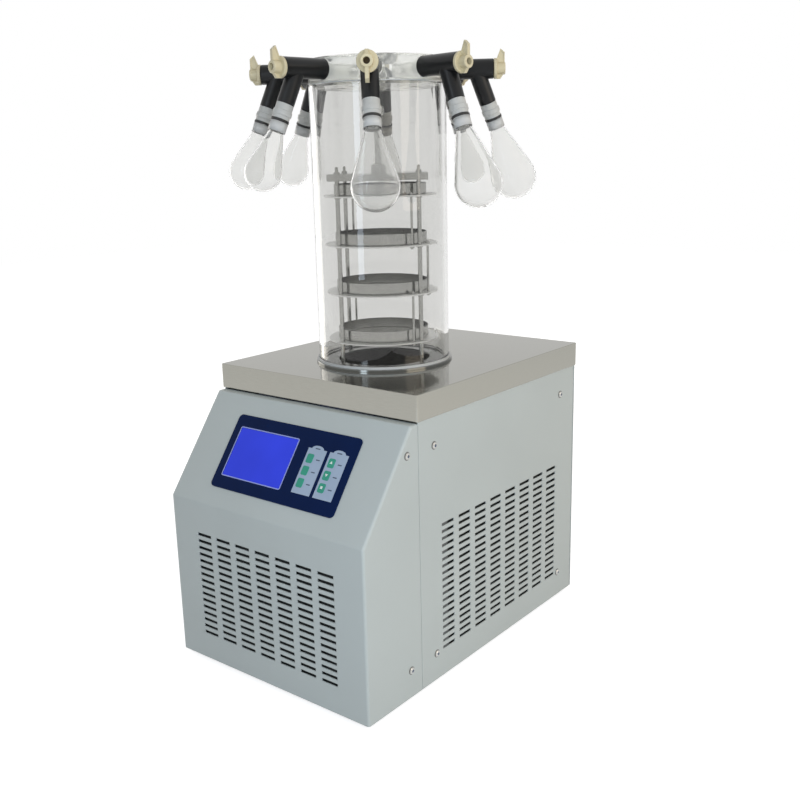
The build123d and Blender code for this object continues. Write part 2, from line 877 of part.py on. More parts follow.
def stud_places(gap):
    """Two opposite thin studs under the shelf with the given index."""
    azimuth = stud_azimuths[gap % 2]
    x = stud_circle_radius * cos(radians(azimuth))
    y = stud_circle_radius * sin(radians(azimuth))
    return [Pos(x, y, 0), Pos(-x, -y, 0)]


def make_rack_rods():
    foot = seat_ring_height
    rod = Pos(0, 0, foot) * extrude(Circle(rod_radius), bridge_level() - foot)
    tip = Pos(0, 0, bridge_level()) * extrude(Circle(rod_tip_radius), rod_tip)
    rod += chamfer(tip.faces().sort_by(Axis.Z)[-1].edges(), rod_tip_radius / 2)
    rod_nut = RegularPolygon(rod_nut_radius, 6)
    rod += Pos(0, 0, bridge_level() + bridge_sheet) * extrude(rod_nut, rod_nut_height)
    for index in range(shelf_count):
        rod += Pos(0, 0, shelf_level(index) - collar_height) * extrude(Circle(collar_radius), collar_height)
    solids = [rack_frame * place * rod for place in rod_places()]
    for gap in range(shelf_count - 1):
        low = shelf_level(gap + 1) - stud_overrun
        high = shelf_level(gap) + shelf_thickness + stud_overrun
        stud = Pos(0, 0, low) * extrude(Circle(stud_radius), high - low)
        nut = RegularPolygon(stud_nut_radius, 6)
        nut_levels = (shelf_level(gap) + shelf_thickness, shelf_level(gap + 1) - stud_nut_height)
        for level in nut_levels:
            stud += Pos(0, 0, level) * extrude(nut, stud_nut_height)
        solids += [rack_frame * place * stud for place in stud_places(gap)]
    return solids


def make_shelf(index):
    plate = extrude(Circle(shelf_radius), shelf_thickness)
    plate -= [place * Cylinder(rod_radius + rod_clearance, 4 * shelf_thickness) for place in rod_places()]
    gaps = [gap for gap in (index - 1, index) if 0 <= gap < shelf_count - 1]
    for gap in gaps:
        plate -= [
            place * Cylinder(stud_radius + rod_clearance, 4 * shelf_thickness) for place in stud_places(gap)
        ]
    return rack_frame * Pos(0, 0, shelf_level(index)) * plate


def make_tray(index):
    dish = extrude(Circle(tray_radius), tray_height)
    dish = chamfer(dish.faces().sort_by(Axis.Z)[0].edges(), tray_wall)
    hollow = Pos(0, 0, tray_wall) * extrude(Circle(tray_radius - tray_wall), tray_height)
    hollow = chamfer(hollow.faces().sort_by(Axis.Z)[0].edges(), tray_wall / 2)
    return rack_frame * Pos(0, 0, shelf_level(index) + shelf_thickness) * (dish - hollow)


def make_rack_hanger():
    """The flanged top bridge with its boss and lifting post."""
    length, width = 2 * bridge_half_length, 2 * bridge_half_width
    rim = bridge_flange_height - bridge_sheet
    flanges = bar(length, width, rim) - bar(length - 2 * bridge_sheet, width - 2 * bridge_sheet, rim)
    plate = bar(length, width, bridge_sheet) + Pos(0, 0, -rim) * flanges
    plate -= [place * Cylinder(rod_tip_radius + rod_clearance, 4 * bridge_sheet) for place in rod_places()]
    boss = Pos(0, 0, bridge_sheet) * extrude(Circle(boss_radius), boss_height)
    boss = chamfer(boss.faces().sort_by(Axis.Z)[-1].edges(), 1.0)
    post = Pos(0, 0, bridge_sheet + boss_height) * extrude(Circle(post_radius), post_length)
    knob = Pos(0, 0, bridge_sheet + boss_height + post_length) * Sphere(post_knob_radius)
    return rack_frame * Pos(0, 0, bridge_level()) * (plate + boss + post + knob)


# ------------------------------------------------------------ machinery
y_condenser = y_toe + condenser_setback
y_shroud = y_condenser + condenser_depth
z_fan = z_pan_floor + condenser_height / 2
fan_frame = Pos(0, y_shroud, z_fan) * Rot(0, 0, 90)


def make_condenser_coil():
    """A finned block: end plates, fins and rows of tube through them."""
    y_mid = y_condenser + condenser_depth / 2
    pitch = condenser_width / (condenser_fins - 1)
    coil = None
    for index in range(condenser_fins):
        end = index in (0, condenser_fins - 1)
        thickness = 2 * fin_thickness if end else fin_thickness
        x = -condenser_width / 2 + index * pitch
        lift = 0 if end else 4
        fin = bar(thickness, condenser_depth, condenser_height - 2 * lift, x, y_mid, z_pan_floor + lift)
        coil = fin if coil is None else coil + fin
    tube_pitch = condenser_height / condenser_tubes
    for index in range(condenser_tubes):
        z = z_pan_floor + (index + 0.5) * tube_pitch
        coil += Pos(0, y_mid, z) * disc_x(
            condenser_tube_radius, -condenser_width / 2 - 8, condenser_width / 2 + 8
        )
    return coil


def make_fan_housing():
    """Shroud plate, ring, spider arms and motor can, with X running rearwards."""
    inner = fan_radius + fan_ring_clearance
    outer = inner + fan_ring_wall
    plate = Pos(fan_plate_thickness / 2, 0, 0) * Box(fan_plate_thickness, condenser_width, condenser_height)
    plate -= disc_x(inner, -through, fan_plate_thickness + through)
    housing = plate + tube_x(outer, inner, 0, fan_ring_depth)
    arm_middle = fan_ring_depth - fan_arm_thickness / 2
    strut = Pos(arm_middle, 0, outer / 2) * Box(fan_arm_thickness, fan_arm_width, outer)
    for arm in range(fan_arm_count):
        housing += Rot(90 + arm * 360 / fan_arm_count, 0, 0) * strut
    motor_end = fan_ring_depth + fan_motor_length
    motor = disc_x(fan_motor_radius, fan_ring_depth - fan_arm_thickness, motor_end)
    motor = chamfer(motor.edges().sort_by(Axis.X)[-1], fan_motor_chamfer)
    housing += motor
    bore = fan_shaft_radius + fan_shaft_clearance
    return fan_frame * (housing - disc_x(bore, 0, motor_end - fan_bore_floor))


def make_fan_blade():
    """Hub, pitched blades and the shaft that runs in the motor."""
    hub_back = fan_hub_start + fan_hub_depth
    rotor = disc_x(fan_hub_radius, fan_hub_start, hub_back)
    mid = fan_hub_start + fan_hub_depth / 2
    blade_length = fan_radius - fan_hub_radius + fan_blade_root
    radius = fan_hub_radius - fan_blade_root + blade_length / 2
    for index in range(fan_blades):
        blade = Rot(0, 0, fan_blade_pitch) * Box(fan_blade_thickness, fan_blade_chord, blade_length)
        rotor += Rot(index * 360 / fan_blades, 0, 0) * (Pos(mid, 0, radius) * blade)
    envelope = disc_x(fan_radius, fan_hub_start - 2, hub_back + 1.5)
    rotor = rotor & envelope
    shaft_end = fan_ring_depth + fan_motor_length * 0.6
    return fan_frame * (rotor + disc_x(fan_shaft_radius, fan_hub_start, shaft_end))


def make_compressor():
    """A sealed refrigeration compressor on its stamped base plate."""
    waist = compressor_height * 0.55
    profile = make_face(
        Polyline(
            (0, 10),
            (compressor_radius * 0.62, 10),
            (compressor_radius * 0.92, 26),
            (compressor_radius, 46),
            (compressor_radius, waist),
            (compressor_radius + 5, waist),
            (compressor_radius + 5, waist + 4),
            (compressor_radius - 1, waist + 4),
            (compressor_radius - 1, compressor_height - 46),
            (compressor_radius * 0.86, compressor_height - 20),
            (compressor_radius * 0.5, compressor_height),
            (0, compressor_height),
            close=True,
        )
    )
    shell = revolve(Plane.XZ * profile, Axis.Z)
    plate = bar(2 * compressor_radius + 40, 1.5 * compressor_radius, 4, 0, 0, 8)
    plate = fillet(plate.edges().filter_by(Axis.Z), 12)
    shell += plate + bar(compressor_radius, compressor_radius, 4, 0, 0, 8)
    foot_x = compressor_radius + 8
    foot_y = 0.55 * compressor_radius
    for x in (-foot_x, foot_x):
        for y in (-foot_y, foot_y):
            shell += Pos(x, y, 0) * extrude(Circle(8), 9)
    stub = Pos(0, 0, waist + 20) * disc_x(5, 0, compressor_radius + 22)
    shell += Rot(0, 0, 35) * stub
    shell += Rot(0, 0, 145) * stub
    return Pos(0, y_worktop + compressor_setback, z_pan_floor) * shell


def rear_frame(x, height):
    """A place on the rear panel's face, with X pointing out of the cabinet."""
    return Pos(x, y_rear, z_casing + height) * Rot(0, 0, 90)


def make_vacuum_port():
    body = disc_x(spigot_flange_radius, 0, 4)
    body = chamfer(body.edges().sort_by(Axis.X)[-1], 1.2)
    body += disc_x(spigot_radius, -18, spigot_reach)
    body -= disc_x(spigot_bore_radius, -18 - through, spigot_reach + through)
    return rear_frame(spigot_from_centre, spigot_height) * body


def rocker_place():
    """The rocker's pin, seen from the inlet's middle on the panel's face."""
    return Pos(-rocker_pin_setback, inlet_width / 2 - rocker_width, 0)


def make_power_inlet():
    """A combined mains socket and rocker switch housing in one flanged moulding."""
    flange_width = inlet_width + 2 * inlet_flange_margin
    flange_height = inlet_height + 2 * inlet_flange_margin
    body = Pos(inlet_flange_thickness / 2, 0, 0) * Box(inlet_flange_thickness, flange_width, flange_height)
    body += Pos((through - inlet_depth) / 2, 0, 0) * Box(inlet_depth + through, inlet_width, inlet_height)
    socket = Pos(0, socket_from_side - inlet_width / 2, 0)
    socket_reach = socket_depth + inlet_flange_thickness + through
    socket_middle = inlet_flange_thickness + through - socket_reach / 2
    body -= socket * Pos(socket_middle, 0, 0) * Box(socket_reach, socket_width, socket_height)
    prong_length = socket_depth + through
    prong = Box(prong_length, prong_thickness, prong_height)
    for y, z in prong_places:
        body += socket * Pos(-prong_length / 2, y, z) * prong
    well = Box(
        rocker_well_depth,
        rocker_width + 2 * rocker_side_clearance,
        rocker_length + 2 * rocker_end_clearance,
    )
    well_middle = rocker_pin_setback + inlet_flange_thickness - rocker_well_depth / 2
    body -= rocker_place() * Pos(well_middle, 0, 0) * well
    pin = Plane.XZ * extrude(Circle(rocker_pin_radius + spindle_clearance), rocker_width, both=True)
    body -= rocker_place() * pin
    return rear_frame(inlet_from_centre, inlet_up) * body


def make_power_rocker():
    """The rocker, resting with its upper end in."""
    half = rocker_length / 2
    foot = half * 0.6
    outline = make_face(
        Polyline(
            (-rocker_depth, -foot),
            (0, -half),
            (rocker_proud, -half),
            (rocker_proud - rocker_dip, 0),
            (rocker_proud, half),
            (0, half),
            (-rocker_depth, foot),
            close=True,
        )
    )
    rocker = Plane.XZ * extrude(outline, rocker_width / 2, both=True)
    pin_half = rocker_width / 2 + rocker_pin_reach
    rocker += Plane.XZ * extrude(Circle(rocker_pin_radius), pin_half, both=True)
    turned_in = Rot(0, -rocker_tilt, 0) * rocker
    return rear_frame(inlet_from_centre, inlet_up) * rocker_place() * turned_in


def drain_stem():
    return Pos(drain_stem_setback, 0, 0)


def make_drain_valve():
    """A small ball valve that empties the cold trap."""
    body = disc_x(drain_radius, -drain_inner_reach, drain_reach)
    body += disc_x(drain_body_radius, 0, drain_body_length)
    body += drain_stem() * extrude(Circle(drain_stem_radius), drain_stem_height)
    body -= disc_x(drain_bore_radius, -drain_inner_reach - through, drain_reach + through)
    pin_hole = extrude(Circle(drain_pin_radius + spindle_clearance), drain_stem_height)
    body -= drain_stem() * Pos(0, 0, drain_stem_height - drain_pin_length) * pin_hole
    return rear_frame(drain_from_centre, drain_height) * body


def make_drain_lever():
    """The quarter-turn lever on the drain valve's stem."""
    z = drain_stem_height + knob_gap
    hub = Pos(0, 0, z) * extrude(Circle(drain_hub_radius), drain_lever_thickness)
    arm = bar(drain_lever_width, drain_lever_length, drain_lever_thickness, 0, drain_lever_length / 2, z)
    arm = fillet(arm.edges().filter_by(Axis.Z).sort_by(Axis.Y)[-2:], 0.4 * drain_lever_width)
    pin_start = drain_stem_height - drain_pin_length + knob_gap
    pin = Pos(0, 0, pin_start) * extrude(Circle(drain_pin_radius), z - pin_start + through)
    return rear_frame(drain_from_centre, drain_height) * drain_stem() * (hub + arm + pin)


# ------------------------------------------------------------ all nodes
def build_nodes():
    nodes = {
        "base_frame": make_base_frame(),
        "feet": make_feet(),
        "front_cover": make_front_cover(),
        "side_panel_left": make_side_panel(-1),
        "side_panel_right": make_side_panel(1),
        "rear_panel": make_rear_panel(),
        "worktop": make_worktop(),
        "casing_screws": make_casing_screws(),
        "control_fascia": make_control_fascia(),
        "display_screen": make_display_screen(),
        "cold_trap": make_cold_trap(),
        "trap_insulation": make_trap_insulation(),
        "evaporator_coil": make_evaporator_coil(),
        "compressor": make_compressor(),
        "condenser_coil": make_condenser_coil(),
        "fan_housing": make_fan_housing(),
        "fan_blade": make_fan_blade(),
        "vacuum_port": make_vacuum_port(),
        "power_inlet": make_power_inlet(),
        "power_rocker": make_power_rocker(),
        "drain_valve": make_drain_valve(),
        "drain_lever": make_drain_lever(),
        "seat_ring": make_seat_ring(),
        "base_gasket": make_base_gasket(),
        "chamber_tube": make_chamber_tube(),
        "lid_gasket": make_lid_gasket(),
        "manifold_lid": make_manifold_lid(),
        "rack_hanger": make_rack_hanger(),
        "rack_rods": make_rack_rods(),
        "shelf_plates": [make_shelf(index) for index in range(shelf_count)],
    }
    for number, (x, up) in enumerate(key_places(), start=1):
        nodes[f"key_{number}"] = make_key(x, up)
    for index in range(shelf_count):
        nodes[f"tray_{index + 1}"] = make_tray(index)
    ports = range(port_count)
    valve_body = make_valve_body()
    nipple = make_port_nipple()
    adapter = make_flask_adapter()
    nodes["port_nipples"] = [port_frame(index) * nipple for index in ports]
    nodes["valve_bodies"] = [valve_frame(index) * valve_body for index in ports]
    nodes["flask_adapters"] = [valve_frame(index) * branch_frame() * adapter for index in ports]
    for index in ports:
        nodes[f"valve_knob_{index + 1}"] = port_frame(index) * make_valve_knob(knob_rest_turns[index])
        flask = make_flask(*flask_sizes[index])
        nodes[f"flask_{index + 1}"] = valve_frame(index) * branch_frame() * flask
    return nodes


def as_shape(made):
    """One solid as it is, and several as a compound."""
    solids = []
    for item in made if isinstance(made, list) else [made]:
        solids += item.solids()
    return solids[0] if len(solids) == 1 else Compound(children=solids)


os.makedirs("parts", exist_ok=True)
for name, made in build_nodes().items():
    export_step(as_shape(made), f"parts/{name}.step")
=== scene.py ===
"""Looks of the bench-top manifold freeze dryer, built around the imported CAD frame."""

import json
from math import cos, pi, radians, sin

import bmesh
import bpy
from mathutils import Matrix, Vector


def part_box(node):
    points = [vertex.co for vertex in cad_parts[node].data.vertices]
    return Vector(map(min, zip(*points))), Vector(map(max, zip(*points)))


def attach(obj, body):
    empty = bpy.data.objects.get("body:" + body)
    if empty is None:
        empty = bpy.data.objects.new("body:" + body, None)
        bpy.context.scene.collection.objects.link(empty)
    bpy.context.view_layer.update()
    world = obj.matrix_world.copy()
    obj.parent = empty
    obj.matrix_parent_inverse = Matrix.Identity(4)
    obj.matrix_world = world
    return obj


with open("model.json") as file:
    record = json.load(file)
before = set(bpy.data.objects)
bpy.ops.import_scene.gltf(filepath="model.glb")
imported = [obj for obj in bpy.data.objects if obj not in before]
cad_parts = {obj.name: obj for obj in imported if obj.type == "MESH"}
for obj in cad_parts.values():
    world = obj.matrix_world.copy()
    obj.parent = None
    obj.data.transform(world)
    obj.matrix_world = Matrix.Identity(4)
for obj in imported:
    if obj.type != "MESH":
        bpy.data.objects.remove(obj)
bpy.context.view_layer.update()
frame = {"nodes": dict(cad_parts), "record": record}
nodes = frame["nodes"]

MM = 0.001
CABINET = "cabinet"

# ------------------------------------------------------------ places read from the frame
cover_low, cover_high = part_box("front_cover")
top_low, top_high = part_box("worktop")
lid_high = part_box("manifold_lid")[1]
fascia_low, fascia_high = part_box("control_fascia")
tube_low, tube_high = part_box("chamber_tube")
key_boxes = [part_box(f"key_{number}") for number in range(1, 7)]

def middle(box):
    return (box[0] + box[1]) / 2


slope_up = (middle(key_boxes[0]) - middle(key_boxes[2])).normalized()
slope_normal = Vector((0, -slope_up.z, slope_up.y))
axis_place = (tube_low + tube_high) / 2

# ------------------------------------------------------------ sizes that the frame doesn't give
# ports: first one's azimuth, each valve's twist in degrees, then distances from the lid's axis
port_count = 8
first_port = radians(35.5)
valve_twists = (3.0, 0.0, 12.0, 0.0, 0.0, 7.0, 8.0, -8.0)
branch_from_axis = 143 * MM
branch_tilt = radians(20.5)
joint_ring_down = 73.8 * MM
hub_floor = 176.5 * MM
lid_mid = lid_high.z - 17 * MM
# casing: outer faces and sheet
casing_half = 188 * MM
rear_face = top_high.y - 2 * MM
wall_sheet = 1.5 * MM
# shade filters: dark foam sheets, their darkness also painted shade for the cabinet's inside seen
# through the louvres: (bottom, top) heights behind each louvred wall, spans along it, then their
# sheet
side_shade_filter = (44 * MM, 260 * MM)
side_span = (top_low.y + 48 * MM, top_low.y + 380 * MM)
front_shade_filter = (44 * MM, 222 * MM)
front_span = 140 * MM
rear_shade_filter = (64 * MM, 198 * MM)
rear_span = 82 * MM
shade_filter_gap = 6 * MM
shade_filter_sheet = 3 * MM
# seams: the return's set-back from the worktop's front edge, its width and its depth
seam_start = 3.02 * MM
seam_width = 0.56 * MM
seam_set_back = 0.4 * MM
seam_depth = 1.0 * MM
# fascia: key plates, print and the screen's frame
plate_size = (34 * MM, 67 * MM)
plate_tab = (22 * MM, 5 * MM)
plate_right_of_keys = 7.5 * MM
plate_thickness = 0.12 * MM
print_thickness = 0.04 * MM
print_bar_height = 1.6 * MM
key_bar = 7 * MM
key_bar_right_of_keys = 15 * MM
plate_bar = 9 * MM
plate_bar_up = 34 * MM
key_face_height = 0.92 * MM
screen_opening = (116 * MM, 75 * MM)
screen_rim = 1.6 * MM
screen_corner = 1.5 * MM
screen_rim_height = 0.25 * MM
# screws
recess_radius = 2.2 * MM


# ------------------------------------------------------------ materials
class Paint:
    """A node material with a Principled shader and a few helpers around it."""

    def __init__(self, name, colour, roughness, metallic=0.0, **sockets):
        self.material = bpy.data.materials.new(name)
        self.material.use_nodes = True
        self.tree = self.material.node_tree
        self.shader = self.tree.nodes["Principled BSDF"]
        self.set("Base Color", (*colour, 1.0))
        self.set("Roughness", roughness)
        self.set("Metallic", metallic)
        for socket, value in sockets.items():
            self.set(socket.replace("_", " "), value)
        self.place = self.tree.nodes.new("ShaderNodeTexCoord").outputs["Object"]

    def set(self, socket, value):
        self.shader.inputs[socket].default_value = value

    def link(self, source, socket):
        self.tree.links.new(source, socket)

    def stretched(self, scale):
        mapping = self.tree.nodes.new("ShaderNodeMapping")
        mapping.inputs["Scale"].default_value = scale
        self.link(self.place, mapping.inputs["Vector"])
        return mapping.outputs["Vector"]

    def noise(self, scale, detail=3.0, stretch=(1, 1, 1), roughness=0.5):
        texture = self.tree.nodes.new("ShaderNodeTexNoise")
        texture.inputs["Scale"].default_value = scale
        texture.inputs["Detail"].default_value = detail
        texture.inputs["Roughness"].default_value = roughness
        self.link(self.stretched(stretch), texture.inputs["Vector"])
        return texture.outputs["Fac"]

    def ramp(self, source, *stops):
        ramp = self.tree.nodes.new("ShaderNodeValToRGB")
        first, last = ramp.color_ramp.elements[0], ramp.color_ramp.elements[-1]
        places = [first, last] + [ramp.color_ramp.elements.new(0.5) for _ in stops[2:]]
        for element, (position, colour) in zip(places, (stops[0], stops[-1], *stops[1:-1])):
            element.position = position
            element.color = (*colour, 1.0)
        self.link(source, ramp.inputs["Fac"])
        return ramp.outputs["Color"]

    def tint(self, source, *stops):
        self.link(self.ramp(source, *stops), self.shader.inputs["Base Color"])
        return self

    def vary_roughness(self, source, low, high):
        spread = self.tree.nodes.new("ShaderNodeMapRange")
        spread.inputs["To Min"].default_value = low
        spread.inputs["To Max"].default_value = high
        self.link(source, spread.inputs["Value"])
        self.link(spread.outputs["Result"], self.shader.inputs["Roughness"])
        return self

    def bump(self, source, strength, distance, rounded=0.0):
        node = self.tree.nodes.new("ShaderNodeBump")
        node.inputs["Strength"].default_value = strength
        node.inputs["Distance"].default_value = distance
        self.link(source, node.inputs["Height"])
        if rounded:
            edge = self.tree.nodes.new("ShaderNodeBevel")
            edge.inputs["Radius"].default_value = rounded
            edge.samples = 4
            self.link(edge.outputs["Normal"], node.inputs["Normal"])
        self.link(node.outputs["Normal"], self.shader.inputs["Normal"])
        return self


def shade(colour, factor):
    return tuple(channel * factor for channel in colour)


def powder_coat(name, colour):
    """Light powder coat: a fine orange peel, slightly uneven in tone, its edges softly rounded in
    shading.
    """
    paint = Paint(name, colour, 0.42, Specular_IOR_Level=0.4)
    paint.tint(paint.noise(5, 4), (0.3, shade(colour, 0.965)), (0.7, shade(colour, 1.03)))
    paint.vary_roughness(paint.noise(40, 3), 0.38, 0.5)
    return paint.bump(paint.noise(900, 2), 0.12, 0.0004, 0.0012).material


def brushed(name, colour, low, high, stretch, contrast=0.05, relief=0.06, rounded=0.0008):
    """Metal with a grain drawn out along one axis; thin sheet takes no edge rounding."""
    metal = Paint(name, colour, low, 1.0, Specular_Tint=(0.8, 0.8, 0.8, 1.0))
    grain = metal.noise(60, 6, stretch, 0.6)
    metal.tint(grain, (0.3, shade(colour, 1 - contrast)), (0.7, shade(colour, 1 + contrast)))
    metal.vary_roughness(grain, low, high)
    return metal.bump(grain, relief, 0.0003, rounded).material


def moulded(name, colour, roughness, variation=0.04, scale=30.0, **sockets):
    """Moulded plastic or rubber with a faint skin texture."""
    paint = Paint(name, colour, roughness, **sockets)
    paint.tint(
        paint.noise(scale, 4),
        (0.3, shade(colour, 1 - variation)),
        (0.7, shade(colour, 1 + variation)),
    )
    return paint.bump(paint.noise(scale * 40, 2), 0.1, 0.0002, 0.0005).material


def clear(name, colour, roughness, ior=1.46, scratches=0.02):
    """Clear glass or acrylic with faint handling marks."""
    glass = Paint(name, colour, roughness, Transmission_Weight=1.0, IOR=ior)
    marks = glass.noise(14, 5)
    glass.vary_roughness(marks, roughness, roughness + scratches)
    return glass.material


def hazy(name, colour, clearness, ior):
    """Thin glass with a slight milky haze."""
    glass = Paint(name, colour, 0.0, Transmission_Weight=clearness, IOR=ior)
    haze = glass.noise(11, 4)
    return glass.tint(haze, (0.3, shade(colour, 0.98)), (0.7, shade(colour, 1.02))).material


def frosted(name, colour, clearness, roughness=0.4, ior=1.40):
    """Ground glass or cloudy plastic: partly clear, partly white and soft."""
    paint = Paint(name, colour, roughness, Transmission_Weight=clearness, IOR=ior)
    grain = paint.noise(20, 4)
    paint.tint(grain, (0.3, shade(colour, 0.95)), (0.7, shade(colour, 1.04)))
    return paint.bump(paint.noise(700, 2), 0.08, 0.0002).material


def glowing(name, colour, strength):
    """The lit display, its glow a little uneven."""
    screen = Paint(name, shade(colour, 0.1), 0.3, Specular_IOR_Level=0.1)
    cloud = screen.noise(9, 2)
    glow = screen.ramp(cloud, (0.35, shade(colour, 0.88)), (0.65, shade(colour, 1.08)))
    screen.link(glow, screen.shader.inputs["Emission Color"])
    screen.set("Emission Strength", strength)
    return screen.material


casing_colour = (0.51, 0.55, 0.533)
finishes = {
    "casing_paint": powder_coat("casing_paint", casing_colour),
    "frame_steel": moulded("frame_steel", (0.08, 0.085, 0.085), 0.5),
    "stainless": brushed("stainless", (0.352, 0.348, 0.313), 0.06, 0.12, (1, 22, 22)),
    "stainless_polished": brushed(
        "stainless_polished", (0.20, 0.205, 0.20), 0.08, 0.14, (1, 1, 20)
    ),
    "stainless_satin": brushed(
        "stainless_satin",
        (0.45, 0.45, 0.43),
        0.11,
        0.15,
        (1, 1, 12),
        contrast=0.03,
        relief=0.004,
        rounded=0.0,
    ),
    "screw_steel": moulded("screw_steel", (0.50, 0.50, 0.48), 0.3, Metallic=1.0),
    "fascia_blue": moulded(
        "fascia_blue", (0.002, 0.012, 0.060), 0.35, 0.08, Specular_IOR_Level=0.05
    ),
    "screen_blue": glowing("screen_blue", (0.030, 0.055, 0.72), 0.85),
    "key_green": moulded("key_green", (0.012, 0.30, 0.20), 0.35, 0.08),
    "foam": moulded("foam", (0.75, 0.70, 0.50), 0.9, 0.1, 60),
    "copper": moulded("copper", (0.70, 0.36, 0.22), 0.3, 0.1, Metallic=1.0),
    "compressor_black": moulded("compressor_black", (0.015, 0.015, 0.017), 0.4),
    "fin_aluminium": moulded("fin_aluminium", (0.30, 0.30, 0.30), 0.45, Metallic=1.0),
    "fan_plastic": moulded("fan_plastic", (0.02, 0.02, 0.02), 0.5),
    "black_plastic": moulded("black_plastic", (0.02, 0.02, 0.02), 0.45),
    "rocker_plastic": moulded("rocker_plastic", (0.025, 0.025, 0.025), 0.3),
    "brass_fitting": moulded("brass_fitting", (0.60, 0.44, 0.20), 0.3, Metallic=1.0),
    "lever_plastic": moulded("lever_plastic", (0.42, 0.02, 0.015), 0.45),
    "clear_silicone": frosted("clear_silicone", (0.64, 0.65, 0.64), 0.15),
    "clear_acrylic": clear("clear_acrylic", (0.79, 0.79, 0.78), 0.0, 1.40, 0.01),
    "white_plastic": moulded("white_plastic", (0.74, 0.75, 0.72), 0.35),
    "rubber_black": moulded(
        "rubber_black", (0.005, 0.0055, 0.006), 0.34, 0.3, Specular_IOR_Level=0.28
    ),
    "cream_plastic": moulded("cream_plastic", (0.66, 0.58, 0.38), 0.35, 0.06),
    "frosted_glass": frosted("frosted_glass", (0.70, 0.70, 0.67), 0.3),
    "flask_glass": hazy("flask_glass", (0.94, 0.94, 0.93), 0.93, 1.22),
}
extra = {
    "plate_grey": moulded("plate_grey", (0.36, 0.45, 0.58), 0.35),
    "frame_pale": moulded("frame_pale", (0.30, 0.36, 0.75), 0.35),
    "mark_white": moulded("mark_white", (0.80, 0.86, 0.82), 0.4),
    # dark for print on the key plates, also painted shade in the screw-head recesses
    "print_and_recess_shade": moulded("print_and_recess_shade", (0.05, 0.08, 0.13), 0.4),
    "seal_black": moulded("seal_black", (0.015, 0.015, 0.015), 0.5),
    "cloudy_acrylic": frosted("cloudy_acrylic", (1.0, 1.0, 0.96), 0.72, 0.06, 1.08),
    # dark foam, its darkness also painted shade for the cabinet's inside behind the louvres
    "filter_foam_shade": moulded("filter_foam_shade", (0.026, 0.030, 0.028), 0.9, 0.4, 120),
    # zinc washer, kept dark as partly painted shadow around each screw head
    "washer_zinc_and_shade": moulded("washer_zinc_and_shade", (0.22, 0.22, 0.21), 0.35, Metallic=1.0),
    "hub_shadow": moulded("hub_shadow", (0.05, 0.03, 0.012), 0.6),
    "neck_frost": frosted("neck_frost", (0.78, 0.78, 0.76), 0.3),
    "shelf_steel": moulded("shelf_steel", (0.95, 0.95, 0.93), 0.3, 0.03, Metallic=0.45),
}

slot_of_node = {part["node"]: part["material_slot"] for part in frame["record"]["subparts"]}
for node_name, node in nodes.items():
    node.data.materials.clear()
    node.data.materials.append(finishes[slot_of_node[node_name]])
nodes["manifold_lid"].data.materials[0] = extra["cloudy_acrylic"]
nodes["shelf_plates"].data.materials[0] = extra["shelf_steel"]


# ------------------------------------------------------------ mesh helpers
def piece(name, mesh_maker, material, body=CABINET):
    """One mesh object from a bmesh maker, riding on a CAD body."""
    mesh = bpy.data.meshes.new(name)
    model = bmesh.new()
    mesh_maker(model)
    bmesh.ops.recalc_face_normals(model, faces=model.faces)
    model.to_mesh(mesh)
    model.free()
    mesh.materials.append(material)
    made = bpy.data.objects.new(name, mesh)
    bpy.context.scene.collection.objects.link(made)
    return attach(made, body)


def lathe(outline, place, steps=48):
    """A maker that turns a closed (radius, height) outline about a place's Z axis."""

    def make(model):
        rings = []
        for radius, height in outline:
            rings.append(
                [
                    model.verts.new(
                        place @ Vector((radius * cos(turn), radius * sin(turn), height))
                    )
                    for turn in (2 * pi * step / steps for step in range(steps))
                ]
            )
        for ring, following in zip(rings, rings[1:] + rings[:1]):
            for step in range(steps):
                after = (step + 1) % steps
                model.faces.new((ring[step], ring[after], following[after], following[step]))

    return make


def slab(outline, place, thickness):
    """A maker that raises a flat (x, y) outline off a place's XY plane."""

    def make(model):
        low = [model.verts.new(place @ Vector((x, y, 0))) for x, y in outline]
        high = [model.verts.new(place @ Vector((x, y, thickness))) for x, y in outline]
        model.faces.new(low)
        model.faces.new(high)
        count = len(outline)
        for index in range(count):
            after = (index + 1) % count
            model.faces.new((low[index], low[after], high[after], high[index]))

    return make


def scaled(outline):
    """An outline given in millimetres, in metres."""
    return [(first * MM, second * MM) for first, second in outline]


def box_outline(width, depth):
    """A centred rectangle as an (x, y) outline."""
    x, y = width / 2, depth / 2
    return [(-x, -y), (x, -y), (x, y), (-x, y)]


def rounded_outline(width, height, radius, steps=6):
    """A centred rectangle with rounded corners."""
    points = []
    for corner, (x, y) in enumerate(((1, 1), (-1, 1), (-1, -1), (1, -1))):
        centre = Vector((x * (width / 2 - radius), y * (height / 2 - radius)))
        for step in range(steps + 1):
            turn = (corner + step / steps) * pi / 2
            points.append((centre.x + radius * cos(turn), centre.y + radius * sin(turn)))
    return points


def frame_maker(outer, inner, place, thickness):
    """A maker of a flat frame between two outlines with the same number of points."""

    def make(model):
        levels = []
        for outline in (outer, inner):
            for height in (0, thickness):
                corners = [place @ Vector((x, y, height)) for x, y in outline]
                levels.append([model.verts.new(corner) for corner in corners])
        outer_low, outer_high, inner_low, inner_high = levels
        count = len(outer)
        for index in range(count):
            after = (index + 1) % count
            for a, b in (
                (outer_low, outer_high),
                (outer_high, inner_high),
                (inner_high, inner_low),
                (inner_low, outer_low),
            ):
                model.faces.new((a[index], a[after], b[after], b[index]))

    return make


# ------------------------------------------------------------ control fascia details
fascia_centre = (fascia_low + fascia_high) / 2
fascia_level = max(vertex.co.dot(slope_normal) for vertex in nodes["control_fascia"].data.vertices)


